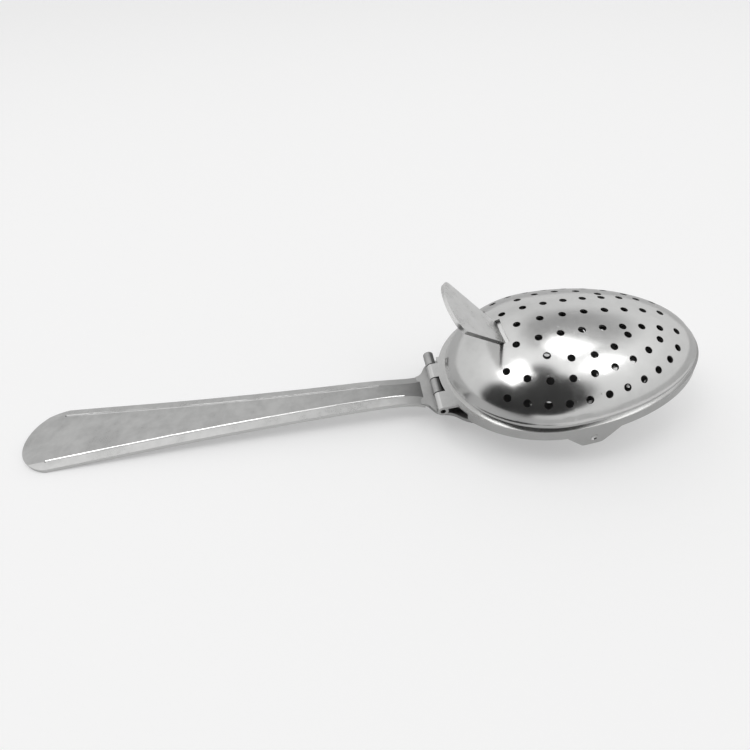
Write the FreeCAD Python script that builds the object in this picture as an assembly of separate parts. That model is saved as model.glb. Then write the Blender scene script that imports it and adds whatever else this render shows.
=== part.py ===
import FreeCAD, Part
import math
import os

# A tea infuser of the hinged-spoon kind, in millimetres.
#
# The spoon is drawn level: its rim lies in a plane of constant Z, +X points from the handle to the
# bowl's tip, +Y across it along the hinge pin, and Z = 0 is the top of the lid's flange. Each
# finished piece is then tilted about Y, so that the bowl and the end of the handle rest on one
# surface, and moved so that the origin is the middle of the footprint on that surface.

V = FreeCAD.Vector

# ---- sheet and gaps
LID_SHEET = 0.7
SPOON_SHEET = 0.8
HANDLE_SHEET = 1.0
TAB_SHEET = 0.9
MOVING_GAP = 0.3

# ---- egg-shaped plan of the lid, measured from its widest section
WIDEST_X = 1.0
DOME_FRONT = 36.0
DOME_REAR = 23.2
DOME_HALF = 22.3
DOME_HEIGHT = 12.9
DOME_POWER = 0.6
PROFILE_POINTS = 10
FLANGE_FRONT = 36.5
FLANGE_REAR = 25.0
FLANGE_HALF = 22.9
SKIRT_BOTTOM_Z = -2.7
SKIRT_REAR_X = -19.9
INNER_LEDGE = 0.1

# ---- snap ears, one on each side of the skirt
EAR_BOTTOM_Z = -6.2
EAR_TOP_X = (-0.6, 11.6)
EAR_BOTTOM_X = (3.1, 7.6)
EAR_CORNER_R = 1.2
DIMPLE_X = 5.5
DIMPLE_Z = -4.0
DIMPLE_R = 1.8
DIMPLE_OUT = 0.65

# ---- spoon bowl and its rim
RIM_TOP_Z = -LID_SHEET - MOVING_GAP
RIM_TO_SKIRT = 1.0
RIM_WIDTH = 1.6
BOWL_DEPTH = 11.0

# ---- hinge; the knuckles are counted from -Y, and the lid has the first and third
HINGE_X = -25.1
HINGE_Z = -1.3
KNUCKLE_R = 1.3
PIN_R = 0.6
PIN_CLEARANCE = 0.05
KNUCKLE_EDGES_Y = (-10.0, -4.6, 0.3, 5.4, 10.0)
KNUCKLE_GAP = 0.3
PIN_RECESS = 2.0
LEAF_FAR_Y = 7.4
LEAF_TO_KNUCKLE = 0.4
LEAF_SLOT = 1.7
WEB_WIDTH = 2.1

# ---- handle: distance from the hinge, half width, height of its middle line
HANDLE_STATIONS = (
    (3.6, 5.0, -3.0),
    (8.0, 4.4, -2.1),
    (14.0, 4.55, -1.25),
    (24.0, 4.85, -0.45),
    (36.0, 5.35, 0.3),
    (50.0, 6.1, 1.2),
    (65.0, 7.1, 2.15),
    (80.0, 8.35, 3.1),
    (95.0, 9.6, 4.05),
    (104.0, 10.3, 4.6),
)
HANDLE_LENGTH = 102.6
HANDLE_END_REACH = 9.2
HANDLE_END_HALF = 9.7
MARGIN_WIDTH = 2.25
MARGIN_DROP = 0.45
GROOVE_R = 0.65
GROOVE_LIFT = 0.54
GROOVE_FROM = {1: 14.0, -1: 8.0}
GROOVE_TO = 95.0

# ---- neck plate under the hinge, its edge from the handle to the bowl
NECK_TOP_Z = -3.0
NECK_EDGE = (
    (-29.5, 4.75),
    (-28.0, 5.5),
    (-26.4, 8.0),
    (-24.6, 8.9),
    (-22.8, 9.6),
    (-21.2, 11.1),
    (-19.4, 12.5),
    (-16.5, 13.2),
)
NECK_BACK_X = -11.0

# ---- thumb tab, standing in a slot in the dome
TAB_ROOT_X = -9.6
TAB_ROOT_Z = 11.5
TAB_RISE_DEG = 46.3
TAB_LENGTH = 16.2
TAB_ROOT_HALF = 4.05
TAB_HALF = 8.85
TAB_END_REACH = 3.2
TAB_STEM = 2.4
TAB_FOOT_LENGTH = 6.0
TAB_FOOT_AHEAD = 3.1
SLOT_CLEARANCE = 0.12
SLOT_AHEAD = 1.1

# ---- perforations: rows and arcs in the plan of the dome; the straight rows close up to the tip
HOLE_R = 0.85
MIDDLE_ROW = {"y": 0.0, "first_x": -5.2, "pitch": 5.35, "squeeze": 0.075, "count": 8}
SIDE_ROW = {"y": 5.6, "first_x": -7.0, "pitch": 5.0, "squeeze": 0.05, "count": 9}
HOLE_ARCS = (
    {"mid_x": 5.4, "front": 15.2, "rear": 14.0, "half": 12.1, "first_x": -1.8, "pitch": 5.0, "count": 5},
    {"mid_x": 1.0, "front": 27.6, "rear": 15.6, "half": 15.9, "first_x": -10.6, "pitch": 4.7, "count": 9},
    {"mid_x": 1.0, "front": 31.2, "rear": 20.0, "half": 19.8, "first_x": -11.7, "pitch": 4.3, "count": 11},
)
DRILL_LENGTH = 4.0

# ---- how the finished spoon rests
REST_TILT_DEG = 7.0

FAR = 300.0


def stretch(shape, size_x, size_y, size_z, at):
    """A copy scaled along the three axes, with its own origin moved to at."""
    matrix = FreeCAD.Matrix()
    matrix.scale(V(size_x, size_y, size_z))
    matrix.move(at)
    return shape.transformGeometry(matrix)


def profile_height(radius):
    """Height of the unit dome at a distance from its axis."""
    return max(0.0, 1 - radius ** 2) ** DOME_POWER


def unit_half_dome(side):
    """Half of the unit dome on Z = 0, in front of (side 1) or behind (side -1) the YZ plane."""
    points = []
    for i in range(PROFILE_POINTS + 1):
        radius = math.sin(i * math.pi / 2 / PROFILE_POINTS)
        points.append(V(0, -side * radius, profile_height(radius)))
    profile = Part.BSplineCurve()
    profile.interpolate(Points=points, InitialTangent=V(0, -side, 0), FinalTangent=V(0, 0, -1))
    base = Part.makePolygon([points[-1], V(0, 0, 0), points[0]])
    face = Part.Face(Part.Wire([profile.toShape()] + base.Edges))
    return face.revolve(V(0, 0, 0), V(0, 0, 1), 180)


def egg_half(side, reach, half, height):
    """Front half (side 1) or rear half (side -1) of a solid egg-shaped dome on Z = 0."""
    return stretch(unit_half_dome(side), reach, half, height, V(WIDEST_X, 0, 0))


def egg_plate(front, rear, half, low_z, high_z):
    """Flat plate with an egg-shaped plan between two heights."""
    centre = V(WIDEST_X, 0, low_z)
    quarter = math.pi / 2
    nose = Part.Ellipse(centre, front, half).toShape(-quarter, quarter)
    tail = Part.Ellipse(centre, rear, half).toShape(quarter, 3 * quarter)
    return Part.Face(Part.Wire([nose, tail])).extrude(V(0, 0, high_z - low_z))


def box(low, high):
    """A box between two corners."""
    return Part.makeBox(high[0] - low[0], high[1] - low[1], high[2] - low[2], V(*low))


def hinge_rod(radius, low_y, high_y):
    """A round bar on the hinge axis."""
    return Part.makeCylinder(radius, high_y - low_y, V(HINGE_X, low_y, HINGE_Z), V(0, 1, 0))


def straight_row(row):
    """Plan positions in a straight row whose spacing shrinks towards the tip."""
    points = []
    for i in range(row["count"]):
        points.append((row["first_x"] + row["pitch"] * i - row["squeeze"] * i ** 2, row["y"]))
    return points


def arc_row(arc):
    """Plan positions spaced evenly along one side of an egg-shaped line."""
    def at(angle):
        reach = arc["front"] if math.cos(angle) > 0 else arc["rear"]
        return arc["mid_x"] + reach * math.cos(angle), arc["half"] * math.sin(angle)

    angle = math.acos((arc["first_x"] - arc["mid_x"]) / arc["rear"])
    step = 0.001
    points = [at(angle)]
    while len(points) < arc["count"]:
        while math.dist(at(angle), points[-1]) < arc["pitch"]:
            angle -= step
        points.append(at(angle))
    return points


def hole_plan():
    """Plan positions of all the perforations."""
    one_side = straight_row(SIDE_ROW)
    for arc in HOLE_ARCS:
        one_side += arc_row(arc)
    return straight_row(MIDDLE_ROW) + one_side + [(x, -y) for x, y in one_side]


def drills(front, rear, half, height):
    """Round bars square to the surface of an egg dome at every perforation."""
    plan_scale = half / DOME_HALF
    bars = []
    for plan_x, plan_y in hole_plan():
        x = (plan_x - WIDEST_X) * plan_scale
        y = plan_y * plan_scale
        reach = front if x > 0 else rear
        radius = math.hypot(x / reach, y / half)
        z = height * profile_height(radius)
        fall = 2 * DOME_POWER * z / (1 - radius ** 2)
        normal = V(fall * x / reach ** 2, fall * y / half ** 2, 1).normalize()
        start = V(WIDEST_X + x, y, z) - normal * (DRILL_LENGTH / 2)
        bars.append(Part.makeCylinder(HOLE_R, DRILL_LENGTH, start, normal))
    return bars


def dome_shell(front, rear, half, height, sheet):
    """The front and rear halves of a hollow, perforated egg dome on Z = 0."""
    bars = drills(front, rear, half, height)
    halves = []
    for side, reach in ((1, front), (-1, rear)):
        inner = egg_half(side, reach - sheet, half - sheet, height - sheet)
        near = [bar for bar in bars if side * (bar.BoundBox.Center.x - WIDEST_X) > -DRILL_LENGTH]
        halves.append(egg_half(side, reach, half, height).cut([inner] + near))
    return halves


def ear_prism():
    """Prism along Y whose section is the outline of a snap ear."""
    corners = [
        V(EAR_TOP_X[0], -FAR / 2, SKIRT_BOTTOM_Z),
        V(EAR_BOTTOM_X[0], -FAR / 2, EAR_BOTTOM_Z),
        V(EAR_BOTTOM_X[1], -FAR / 2, EAR_BOTTOM_Z),
        V(EAR_TOP_X[1], -FAR / 2, SKIRT_BOTTOM_Z),
        V(EAR_TOP_X[1], -FAR / 2, -LID_SHEET),
        V(EAR_TOP_X[0], -FAR / 2, -LID_SHEET),
    ]
    prism = Part.Face(Part.makePolygon(corners + corners[:1])).extrude(V(0, FAR, 0))
    lowest = EAR_BOTTOM_Z + LID_SHEET / 2
    rounded = [e for e in prism.Edges if e.Length > FAR / 2 and e.BoundBox.ZMax < lowest]
    return prism.makeFillet(EAR_CORNER_R, rounded)


def dimple_centres():
    """Ball centres of the two dimples, just outside the ears."""
    reach = DIMPLE_X - WIDEST_X
    y = FLANGE_HALF * math.sqrt(1 - (reach / FLANGE_FRONT) ** 2)
    outward = V(reach / FLANGE_FRONT ** 2, y / FLANGE_HALF ** 2, 0).normalize()
    far = V(DIMPLE_X, y, DIMPLE_Z) + outward * DIMPLE_OUT
    return far, V(far.x, -far.y, far.z)


def skirt():
    """The lid's turned-down edge with its two snap ears and their dimples."""
    low_z = EAR_BOTTOM_Z - LID_SHEET
    inner_size = [size - LID_SHEET for size in (FLANGE_FRONT, FLANGE_REAR, FLANGE_HALF)]
    inner = egg_plate(*inner_size, low_z - 1, 1)
    edge = egg_plate(FLANGE_FRONT, FLANGE_REAR, FLANGE_HALF, SKIRT_BOTTOM_Z, 0).cut(inner)
    edge = edge.common(box((SKIRT_REAR_X, -FAR / 2, -FAR / 2), (FAR, FAR / 2, FAR / 2)))
    deep = egg_plate(FLANGE_FRONT, FLANGE_REAR, FLANGE_HALF, low_z, 0)
    body = edge.fuse(deep.common(ear_prism()).cut(inner))
    for centre in dimple_centres():
        body = body.fuse(Part.makeSphere(DIMPLE_R, centre).common(deep))
        body = body.cut(Part.makeSphere(DIMPLE_R - LID_SHEET, centre))
    return body


def knuckle_span(index):
    """Y limits of one knuckle, with a small gap between neighbours."""
    low = KNUCKLE_EDGES_Y[index]
    high = KNUCKLE_EDGES_Y[index + 1]
    if index > 0:
        low += KNUCKLE_GAP / 2
    if index < len(KNUCKLE_EDGES_Y) - 2:
        high -= KNUCKLE_GAP / 2
    return low, high


def leaf():
    """The lid's hinge leaf: a flat tongue that ends in two curled knuckles."""
    plate = box((HINGE_X, KNUCKLE_EDGES_Y[0], -LID_SHEET), (SKIRT_REAR_X, LEAF_FAR_Y, 0))
    behind_x = HINGE_X - KNUCKLE_R
    clear_x = HINGE_X + KNUCKLE_R + LEAF_TO_KNUCKLE
    low, high = knuckle_span(1)
    slot_end = (HINGE_X + KNUCKLE_R + LEAF_SLOT, high + KNUCKLE_GAP, FAR)
    slot = box((behind_x, low - KNUCKLE_GAP, -FAR), slot_end)
    notch = box((behind_x, knuckle_span(3)[0] - KNUCKLE_GAP, -FAR), (clear_x, FAR, FAR))
    knuckles = [hinge_rod(KNUCKLE_R, *knuckle_span(index)) for index in (0, 2)]
    return plate.cut([slot, notch]).fuse(knuckles)


def place_tab(shape):
    """Stand a shape drawn in the tab's own plane, with X along the tab, on its root in the dome."""
    shape.rotate(V(0, 0, 0), V(0, 0, 1), 180)
    shape.rotate(V(0, 0, 0), V(0, 1, 0), TAB_RISE_DEG)
    shape.translate(V(TAB_ROOT_X, 0, TAB_ROOT_Z))
    return shape


def tab_slot():
    """Cutter for the slot in the dome that the thumb tab stands in."""
    half = TAB_ROOT_HALF + SLOT_CLEARANCE
    low = (-TAB_STEM, -half, -TAB_SHEET - SLOT_CLEARANCE)
    return place_tab(box(low, (TAB_STEM, half, SLOT_AHEAD)))


def lid():
    """Perforated dome with flange, skirt, snap ears and hinge leaf, pressed from one sheet."""
    inset = LID_SHEET + INNER_LEDGE
    opening = egg_plate(DOME_FRONT - inset, DOME_REAR - inset, DOME_HALF - inset, -LID_SHEET - 1, 1)
    flange = egg_plate(FLANGE_FRONT, FLANGE_REAR, FLANGE_HALF, -LID_SHEET, 0)
    ring = flange.fuse([leaf(), skirt()]).cut(opening)
    front, rear = dome_shell(DOME_FRONT, DOME_REAR, DOME_HALF, DOME_HEIGHT, LID_SHEET)
    body = ring.fuse([front, rear.cut(tab_slot())])
    bore_end = KNUCKLE_EDGES_Y[-1]
    return body.cut(hinge_rod(PIN_R + PIN_CLEARANCE, -bore_end - 1, bore_end))


def tab_plate():
    """The part of the thumb tab that shows: straight sides that run smoothly into a rounded end."""
    shoulder = TAB_LENGTH - TAB_END_REACH
    root_x = -shoulder / TAB_END_REACH
    root_y = TAB_ROOT_HALF / TAB_HALF
    turn = math.atan2(root_y, root_x) - math.acos(1 / math.hypot(root_x, root_y))
    end = Part.Ellipse(V(0, 0, 0), TAB_HALF, TAB_END_REACH)
    end.rotate(FreeCAD.Placement(V(0, 0, 0), FreeCAD.Rotation(V(0, 0, 1), -90)))
    end.translate(V(shoulder, 0, 0))
    rounded = end.toShape(math.pi / 2 - turn, math.pi / 2 + turn)
    first, last = [vertex.Point for vertex in rounded.Vertexes]
    root = math.copysign(TAB_ROOT_HALF, last.y)
    stem = [V(0, root, 0), V(-TAB_STEM, root, 0), V(-TAB_STEM, -root, 0), V(0, -root, 0)]
    outline = Part.Wire([rounded] + Part.makePolygon([last] + stem + [first]).Edges)
    return Part.Face(outline).extrude(V(0, 0, -TAB_SHEET))


def thumb_tab():
    """The flat thumb tab, with a foot that follows the inside of the dome behind its slot."""
    inside = (DOME_REAR - LID_SHEET, DOME_HALF - LID_SHEET, DOME_HEIGHT - LID_SHEET)
    layer = egg_half(-1, *inside).cut(egg_half(-1, *[size - TAB_SHEET for size in inside]))
    foot_x = TAB_ROOT_X + TAB_FOOT_AHEAD
    strip = box((foot_x - TAB_FOOT_LENGTH, -TAB_ROOT_HALF, 0), (foot_x, TAB_ROOT_HALF, FAR))
    foot = layer.common(strip)
    return place_tab(tab_plate()).fuse(foot)


def crease_half(half_width):
    """Distance from the handle's middle line to the crease where its margin starts."""
    return half_width - MARGIN_WIDTH


def handle_section(station):
    """Closed section of the handle: level in the middle, with sloping margins."""
    distance, half, top = station
    crease = crease_half(half)
    upper = [(-half, top - MARGIN_DROP), (-crease, top), (crease, top), (half, top - MARGIN_DROP)]
    lower = [(y, z - HANDLE_SHEET) for y, z in reversed(upper)]
    points = [V(HINGE_X - distance, y, z) for y, z in upper + lower]
    return Part.makePolygon(points + points[:1])


def handle_groove(side):
    """Cutter for the shallow groove along one crease of the handle, between two of its stations."""
    points = {}
    for distance, half, top in HANDLE_STATIONS:
        points[distance] = V(HINGE_X - distance, side * crease_half(half), top + GROOVE_LIFT)
    path = Part.BSplineCurve()
    path.interpolate(list(points.values()))
    first, last = (path.parameter(points[d]) for d in (GROOVE_FROM[side], GROOVE_TO))
    ring = Part.Wire(Part.makeCircle(GROOVE_R, path.value(first), path.tangent(first)[0]))
    return Part.Wire(path.toShape(first, last)).makePipeShell([ring], True, False)


def handle():
    """The handle, widening from the neck to a rounded end, with two grooves along it."""
    body = Part.makeLoft([handle_section(s) for s in HANDLE_STATIONS], True, False)
    shoulder_x = HINGE_X - HANDLE_LENGTH + HANDLE_END_REACH
    end = Part.Ellipse(V(0, 0, 0), HANDLE_END_HALF, HANDLE_END_REACH)
    end.rotate(FreeCAD.Placement(V(0, 0, 0), FreeCAD.Rotation(V(0, 0, 1), 90)))
    end.translate(V(shoulder_x, 0, -FAR / 2))
    rounded = Part.Face(Part.Wire(end.toShape())).extrude(V(0, 0, FAR))
    body = body.common(rounded.fuse(box((shoulder_x, -FAR / 2, -FAR / 2), (0, FAR / 2, FAR / 2))))
    return body.cut([handle_groove(1), handle_groove(-1)])


def neck():
    """Flat plate that passes under the hinge and joins the handle to the bowl."""
    far = [V(x, y, NECK_TOP_Z) for x, y in NECK_EDGE]
    near = [V(p.x, -p.y, p.z) for p in reversed(far)]
    edges = []
    for points in (far, near):
        curve = Part.BSplineCurve()
        curve.interpolate(points)
        edges.append(curve.toShape())
    corners = [V(NECK_BACK_X, far[-1].y, NECK_TOP_Z), V(NECK_BACK_X, near[0].y, NECK_TOP_Z)]
    front = Part.makePolygon([far[-1]] + corners + [near[0]])
    outline = Part.Wire([edges[0]] + front.Edges + [edges[1], Part.makeLine(near[-1], far[0])])
    return Part.Face(outline).extrude(V(0, 0, -HANDLE_SHEET))


def spoon_knuckles():
    """The spoon's two knuckles, each on a short web that rises from the neck plate."""
    solids = []
    web_bottom = NECK_TOP_Z - HANDLE_SHEET / 2
    for index in (1, 3):
        low, high = knuckle_span(index)
        solids.append(hinge_rod(KNUCKLE_R, low, high))
        web_low = (HINGE_X - WEB_WIDTH / 2, low, web_bottom)
        solids.append(box(web_low, (HINGE_X + WEB_WIDTH / 2, high, HINGE_Z)))
    return solids


def hang_below(shape, top_z):
    """Turn a shape that stands on Z = 0 upside down, so that it hangs from top_z."""
    hung = shape.mirror(V(0, 0, 0), V(0, 0, 1))
    hung.translate(V(0, 0, top_z))
    return hung


def spoon_body():
    """Handle, neck, knuckles and perforated bowl with its rim, pressed from one sheet."""
    to_rim = LID_SHEET + RIM_TO_SKIRT
    rim_size = [size - to_rim for size in (FLANGE_FRONT, FLANGE_REAR, FLANGE_HALF)]
    front, rear, half = [size - RIM_WIDTH for size in rim_size]
    rim = egg_plate(*rim_size, RIM_TOP_Z - SPOON_SHEET, RIM_TOP_Z)
    hollow = []
    for side, reach in ((1, front), (-1, rear)):
        inner = egg_half(side, reach - SPOON_SHEET, half - SPOON_SHEET, BOWL_DEPTH - SPOON_SHEET)
        hollow.append(hang_below(inner, RIM_TOP_Z))
    flat_parts = rim.fuse([neck(), handle()] + spoon_knuckles()).cut(hollow)
    shells = dome_shell(front, rear, half, BOWL_DEPTH, SPOON_SHEET)
    body = flat_parts.fuse([hang_below(shell, RIM_TOP_Z) for shell in shells])
    bore_end = KNUCKLE_EDGES_Y[-1]
    return body.cut(hinge_rod(PIN_R, -bore_end, bore_end + 1))


def hinge_pin():
    """Round wire pin, held in the spoon's knuckles and free in the lid's."""
    return hinge_rod(PIN_R, KNUCKLE_EDGES_Y[0] + PIN_RECESS, KNUCKLE_EDGES_Y[-1] - PIN_RECESS)


def rest_on_surface(pieces):
    """Tilt every piece about Y, then put the origin in the middle of the footprint."""
    for piece in pieces.values():
        piece.rotate(V(0, 0, 0), V(0, 1, 0), -REST_TILT_DEG)
    whole = Part.makeCompound(list(pieces.values())).optimalBoundingBox(False)
    to_origin = V(-(whole.XMin + whole.XMax) / 2, 0, -whole.ZMin)
    for piece in pieces.values():
        piece.translate(to_origin)
    return to_origin


def main():
    pieces = {
        "spoon_body": spoon_body(),
        "hinge_pin": hinge_pin(),
        "lid": lid(),
        "thumb_tab": thumb_tab(),
    }
    print("moved by", rest_on_surface(pieces))
    os.makedirs("parts", exist_ok=True)
    for name, shape in pieces.items():
        print(name, "valid", shape.isValid(), "solids", len(shape.Solids), "volume", round(shape.Volume, 1))
        shape.exportStep("parts/" + name + ".step")


main()
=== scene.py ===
import math

import bpy
from mathutils import Matrix, Vector

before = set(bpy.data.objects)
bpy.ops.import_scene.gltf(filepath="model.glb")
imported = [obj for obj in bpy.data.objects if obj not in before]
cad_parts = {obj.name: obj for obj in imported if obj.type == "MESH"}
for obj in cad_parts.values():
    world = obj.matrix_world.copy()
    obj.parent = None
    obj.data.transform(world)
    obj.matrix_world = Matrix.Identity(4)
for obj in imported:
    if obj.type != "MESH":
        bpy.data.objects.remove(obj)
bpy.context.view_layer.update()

MM = 0.001

# ---- camera: place, direction it looks from, and lens
CAMERA_AT_MM = (-0.735, -86.952, 95.499)
CAMERA_AZIMUTH = -3.92
CAMERA_ELEVATION = 43.72
CAMERA_ROLL = -2.93
LENS_MM = 24.0
SENSOR_MM = 36.0

# ---- studio: softboxes as (azimuth, elevation, width, height, radiance), azimuth 0 on the -Y side
CENTRE_MM = (45.0, 0.0, 12.0)
LIGHT_DISTANCE = 0.9
SOFTBOXES = {
    "left_box": (-76.0, 60.0, 0.34, 0.42, 2.2),
    "top_box": (128.0, 73.0, 0.34, 0.24, 2.0),
    "right_box": (66.0, 60.0, 0.26, 0.24, 1.6),
}
FLOOR_SIZE = 60.0
FLOOR_GREY = 0.62
FLOOR_GLOW = 0.38

# ---- the light round the object: brightness at the horizon and overhead, then areas that change it.
# An area is (azimuth, elevation, inner angle, outer angle) in degrees and fades between the angles;
# a grey area ends with how much brightness it takes away.
SKY_LOW = 0.80
SKY_HIGH = 1.15
SKY_LOW_AT = 0.25
SKY_SEEN = 0.785
GREY_AREAS = (
    (146.0, 58.0, 10.0, 32.0, 0.58),
    (-165.0, 42.0, 16.0, 44.0, 0.10),
)
DARK_AREAS = (
    (-14.0, 42.0, 30.0, 38.0),
    (-50.0, 20.0, 28.0, 36.0),
    (-30.0, 68.0, 10.0, 20.0),
)
DARKNESS = 0.95


def direction(azimuth, elevation):
    """Unit vector towards an azimuth and elevation in degrees; azimuth 0 is -Y and 90 is +X."""
    a = math.radians(azimuth)
    e = math.radians(elevation)
    return Vector((math.sin(a) * math.cos(e), -math.cos(a) * math.cos(e), math.sin(e)))


def make_camera():
    """A camera at the given place, turned from its level position by the roll."""
    back = direction(CAMERA_AZIMUTH, CAMERA_ELEVATION)
    azimuth = math.radians(CAMERA_AZIMUTH)
    roll = math.radians(CAMERA_ROLL)
    level = Vector((math.cos(azimuth), math.sin(azimuth), 0))
    right = level * math.cos(roll) + back.cross(level) * math.sin(roll)
    up = back.cross(right)
    data = bpy.data.cameras.new("camera")
    data.lens = LENS_MM
    data.sensor_width = SENSOR_MM
    data.clip_start = MM
    camera = bpy.data.objects.new("camera", data)
    bpy.context.scene.collection.objects.link(camera)
    turn = Matrix((right, up, back)).transposed()
    camera.matrix_world = Matrix.Translation(Vector(CAMERA_AT_MM) * MM) @ turn.to_4x4()
    bpy.context.scene.camera = camera


make_camera()
bpy.context.scene.view_settings.view_transform = "Standard"


class Nodes:
    """A node tree that is easier to write down."""

    def __init__(self, tree):
        self.tree = tree
        tree.nodes.clear()

    def add(self, kind, values=None, **settings):
        node = self.tree.nodes.new(kind)
        for key, value in settings.items():
            setattr(node, key, value)
        for key, value in (values or {}).items():
            if isinstance(value, bpy.types.NodeSocket):
                self.tree.links.new(value, node.inputs[key])
            else:
                node.inputs[key].default_value = value
        return node

    def math(self, operation, *values):
        return self.add("ShaderNodeMath", dict(enumerate(values)), operation=operation).outputs[0]

    def ramp(self, value, low, high, low_out=0.0, high_out=1.0):
        node = self.add("ShaderNodeMapRange", {0: value, 1: low, 2: high, 3: low_out, 4: high_out},
                        interpolation_type="SMOOTHSTEP")
        return node.outputs[0]

    def noise(self, place, scale, detail, rough=0.5):
        values = {"Vector": place, "Scale": scale, "Detail": detail, "Roughness": rough}
        return self.add("ShaderNodeTexNoise", values).outputs[0]


def make_world():
    """Soft grey studio, brighter overhead and dark behind the camera; plain and pale when looked at."""
    world = bpy.data.worlds.new("studio")
    bpy.context.scene.world = world
    world.use_nodes = True
    n = Nodes(world.node_tree)
    place = n.add("ShaderNodeTexCoord").outputs["Generated"]
    unit = n.add("ShaderNodeVectorMath", {0: place}, operation="NORMALIZE").outputs[0]

    def towards(azimuth, elevation, inner, outer):
        d = direction(azimuth, elevation)
        dot = n.add("ShaderNodeVectorMath", {0: unit, 1: d}, operation="DOT_PRODUCT").outputs["Value"]
        return n.ramp(dot, math.cos(math.radians(outer)), math.cos(math.radians(inner)))

    up = n.add("ShaderNodeSeparateXYZ", {0: unit}).outputs[2]
    level = n.ramp(up, SKY_LOW_AT, 1.0, SKY_LOW, SKY_HIGH)
    for *area, drop in GREY_AREAS:
        level = n.math("SUBTRACT", level, n.math("MULTIPLY", towards(*area), drop))
    dark = towards(*DARK_AREAS[0])
    for area in DARK_AREAS[1:]:
        dark = n.math("MAXIMUM", dark, towards(*area))
    level = n.math("MULTIPLY", level, n.math("SUBTRACT", 1.0, n.math("MULTIPLY", dark, DARKNESS)))
    seen = n.add("ShaderNodeLightPath").outputs["Is Camera Ray"]
    strength = n.add("ShaderNodeMix", {0: seen, 2: level, 3: SKY_SEEN}, data_type="FLOAT").outputs[0]
    shade = n.add("ShaderNodeBackground", {"Color": (1, 1, 1, 1), "Strength": strength})
    n.add("ShaderNodeOutputWorld", {0: shade.outputs[0]})


def make_lights():
    """Rectangular softboxes round the bowl, unseen by the camera."""
    centre = Vector(CENTRE_MM) * MM
    for name, (azimuth, elevation, width, height, radiance) in SOFTBOXES.items():
        data = bpy.data.lights.new(name, "AREA")
        data.shape = "RECTANGLE"
        data.size = width
        data.size_y = height
        data.energy = radiance * math.pi * width * height
        light = bpy.data.objects.new(name, data)
        bpy.context.scene.collection.objects.link(light)
        towards = direction(azimuth, elevation)
        light.location = centre + towards * LIGHT_DISTANCE
        light.rotation_mode = "QUATERNION"
        light.rotation_quaternion = towards.to_track_quat("Z", "Y")
        light.visible_camera = False


def make_floor():
    """A plain pale floor under the object, a little lighter to the camera than in reflections."""
    half = FLOOR_SIZE / 2
    mesh = bpy.data.meshes.new("floor")
    corners = [(-half, -half, 0), (half, -half, 0), (half, half, 0), (-half, half, 0)]
    mesh.from_pydata(corners, [], [(0, 1, 2, 3)])
    floor = bpy.data.objects.new("floor", mesh)
    bpy.context.scene.collection.objects.link(floor)
    material = bpy.data.materials.new("floor_paper")
    material.use_nodes = True
    n = Nodes(material.node_tree)
    shader = n.add("ShaderNodeBsdfPrincipled", {
        "Base Color": (FLOOR_GREY, FLOOR_GREY, FLOOR_GREY, 1), "Roughness": 0.9})
    glow = n.add("ShaderNodeEmission", {"Color": (1, 1, 1, 1), "Strength": FLOOR_GLOW})
    both = n.add("ShaderNodeAddShader", {0: shader.outputs[0], 1: glow.outputs[0]})
    seen = n.add("ShaderNodeLightPath").outputs["Is Camera Ray"]
    shown = n.add("ShaderNodeMixShader", {0: seen, 1: shader.outputs[0], 2: both.outputs[0]})
    n.add("ShaderNodeOutputMaterial", {0: shown.outputs[0]})
    mesh.materials.append(material)


make_world()
make_lights()
make_floor()


# ---- steel: noise scales per metre, with their detail and roughness, and heights in mm
CLOUD = (130.0, 4.0, 0.6)
PATCH = (420.0, 3.0, 0.6)
GRAIN = (4200.0, 2.0, 0.6)
PITS = (1500.0, 1.0, 0.5)
WAVE = (95.0, 1.0, 0.4)
HAIR_STRETCH = (260.0, 3200.0, 3200.0)
GRAIN_MM = 0.002
PIT_MM = 0.012
CONTRAST = (0.32, 0.68)
CLOUD_SHARE = 0.6
GLOSS_SPREAD = 0.18
GRAIN_GLOSS = 0.5
PIT_EDGE = (0.74, 0.84)
WARMTH = 0.99
# faces that look into the bowl: painted shade as a darker colour, and a rougher gloss for the unpolished
# inside
INSIDE_FACING = (-0.05, -0.35)
INSIDE_PAINTED_SHADE = 0.62
INSIDE_ROUGHER = 0.25
# painted highlight: creases and edges that lean to a side get a brighter colour and smoother gloss
HIGHLIGHT_FADE_MM = 3.0
HIGHLIGHT_LEAN = (0.15, 0.34)
HIGHLIGHT_SMOOTHER = 0.45


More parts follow.
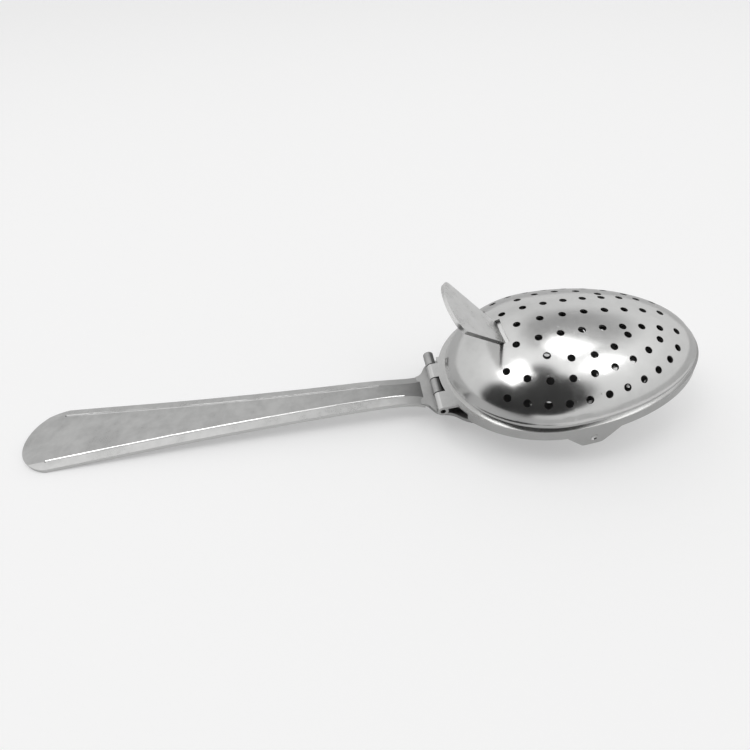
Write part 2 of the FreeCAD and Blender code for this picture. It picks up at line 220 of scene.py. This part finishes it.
def steel(name, tint, rough, mottle, wave_mm, scratch_mm, inside=None, edge_highlight=None):
    """Stainless steel: cloudy tint and gloss, shallow waves, fine grain, hairline scratches and pits.

    inside is a point in mm: faces that look towards it get painted shade and are rougher. The last
    argument
    is (end x in mm, tint): up to there, creases and edges that lean to a side get a painted highlight.
    """
    material = bpy.data.materials.new(name)
    material.use_nodes = True
    n = Nodes(material.node_tree)
    place = n.add("ShaderNodeTexCoord").outputs["Object"]
    geometry = n.add("ShaderNodeNewGeometry")
    cloud = n.noise(place, *CLOUD)
    patch = n.noise(place, *PATCH)
    grain = n.noise(place, *GRAIN)
    cloud = n.math("MULTIPLY", cloud, CLOUD_SHARE)
    blend = n.math("ADD", cloud, n.math("MULTIPLY", patch, 1 - CLOUD_SHARE))
    shade = n.ramp(blend, *CONTRAST, tint * (1 - mottle), tint * (1 + mottle))
    gloss = n.ramp(blend, *CONTRAST, rough * (1 - GLOSS_SPREAD), rough * (1 + GLOSS_SPREAD))
    uneven = n.math("MULTIPLY", n.math("SUBTRACT", grain, 0.5), rough * GRAIN_GLOSS)
    gloss = n.math("ADD", gloss, uneven)
    # painted shade: faces that look into the bowl get a darker colour; they are also rougher, as the
    # inside is unpolished
    if inside:
        centre = tuple(value * MM for value in inside)
        outward = n.add("ShaderNodeVectorMath", {0: place, 1: centre}, operation="SUBTRACT").outputs[0]
        outward = n.add("ShaderNodeVectorMath", {0: outward}, operation="NORMALIZE").outputs[0]
        facing = n.add("ShaderNodeVectorMath", {0: outward, 1: geometry.outputs["Normal"]},
                       operation="DOT_PRODUCT").outputs["Value"]
        shade_and_dull = n.ramp(facing, *INSIDE_FACING)
        kept = n.math("SUBTRACT", 1.0, n.math("MULTIPLY", shade_and_dull, INSIDE_PAINTED_SHADE))
        shade = n.math("MULTIPLY", shade, kept)
        gloss = n.math("ADD", gloss, n.math("MULTIPLY", shade_and_dull, INSIDE_ROUGHER))
    # painted highlight: up to the end x, faces that lean to a side get a brighter colour and smoother
    # gloss
    if edge_highlight:
        end_mm, bright = edge_highlight
        x = n.add("ShaderNodeSeparateXYZ", {0: place}).outputs[0]
        lean = n.add("ShaderNodeSeparateXYZ", {0: geometry.outputs["True Normal"]}).outputs[1]
        lean = n.ramp(n.math("ABSOLUTE", lean), *HIGHLIGHT_LEAN)
        before_end = n.ramp(x, (end_mm + HIGHLIGHT_FADE_MM) * MM, (end_mm - HIGHLIGHT_FADE_MM) * MM)
        highlight_mask = n.math("MULTIPLY", lean, before_end)
        shade = n.math("ADD", shade, n.math("MULTIPLY", highlight_mask, n.math("SUBTRACT", bright, shade)))
        gloss = n.math("SUBTRACT", gloss, n.math("MULTIPLY", highlight_mask, rough * HIGHLIGHT_SMOOTHER))
    blue = n.math("MULTIPLY", shade, WARMTH)
    colour = n.add("ShaderNodeCombineColor", {0: shade, 1: shade, 2: blue})
    stretched = n.add("ShaderNodeMapping", {0: place, "Scale": HAIR_STRETCH}).outputs[0]
    hair = n.noise(stretched, 1.0, 2.0)
    pits = n.ramp(n.noise(place, *PITS), *PIT_EDGE)
    wave = n.noise(place, *WAVE)
    height = n.math("MULTIPLY", wave, wave_mm * MM)
    for value, depth in ((grain, GRAIN_MM), (hair, scratch_mm), (pits, PIT_MM)):
        height = n.math("ADD", height, n.math("MULTIPLY", value, depth * MM))
    bump = n.add("ShaderNodeBump", {"Strength": 1.0, "Distance": 1.0, "Height": height})
    shader = n.add("ShaderNodeBsdfPrincipled", {
        "Base Color": colour.outputs[0], "Metallic": 1.0, "Roughness": gloss, "Normal": bump.outputs[0]})
    n.add("ShaderNodeOutputMaterial", {0: shader.outputs[0]})
    return material


BOWL_CENTRE_MM = (46.0, 0.0, 11.0)
# painted highlight on the handle's creases and edges: (end x in mm, tint)
EDGE_HIGHLIGHT = (18.0, 0.90)
MATERIALS = {
    "spoon_body": steel("satin_steel", 0.46, 0.34, 0.12, 0.004, 0.0012, BOWL_CENTRE_MM, EDGE_HIGHLIGHT),
    "lid": steel("polished_steel", 0.66, 0.18, 0.04, 0.008, 0.0002, BOWL_CENTRE_MM),
    "thumb_tab": steel("tab_steel", 0.80, 0.30, 0.06, 0.004, 0.0008),
    "hinge_pin": steel("pin_steel", 0.50, 0.30, 0.06, 0.002, 0.0010),
}
for node, material in MATERIALS.items():
    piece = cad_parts[node]
    piece.data.materials.clear()
    piece.data.materials.append(material)

# ---- edges: the two plain pieces get rounded edges; the pressed sheets keep their packed surfaces
EDGE_MM = {"thumb_tab": 0.25, "hinge_pin": 0.12}
EDGE_DEG = 32
FACET_DEG = 0.6
WELD_MM = 0.002


def soften_edges(piece, width_mm):
    """Round a piece's sharp edges; the flat facets of its mesh are joined first."""
    weld = piece.modifiers.new("weld", "WELD")
    weld.merge_threshold = WELD_MM * MM
    join = piece.modifiers.new("join_facets", "DECIMATE")
    join.decimate_type = "DISSOLVE"
    join.angle_limit = math.radians(FACET_DEG)
    bevel = piece.modifiers.new("round_edges", "BEVEL")
    bevel.width = width_mm * MM
    bevel.segments = 3
    bevel.limit_method = "ANGLE"
    bevel.angle_limit = math.radians(EDGE_DEG)
    smooth = piece.modifiers.new("smooth", "WEIGHTED_NORMAL")
    smooth.weight = 60


for node, width_mm in EDGE_MM.items():
    soften_edges(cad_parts[node], width_mm)
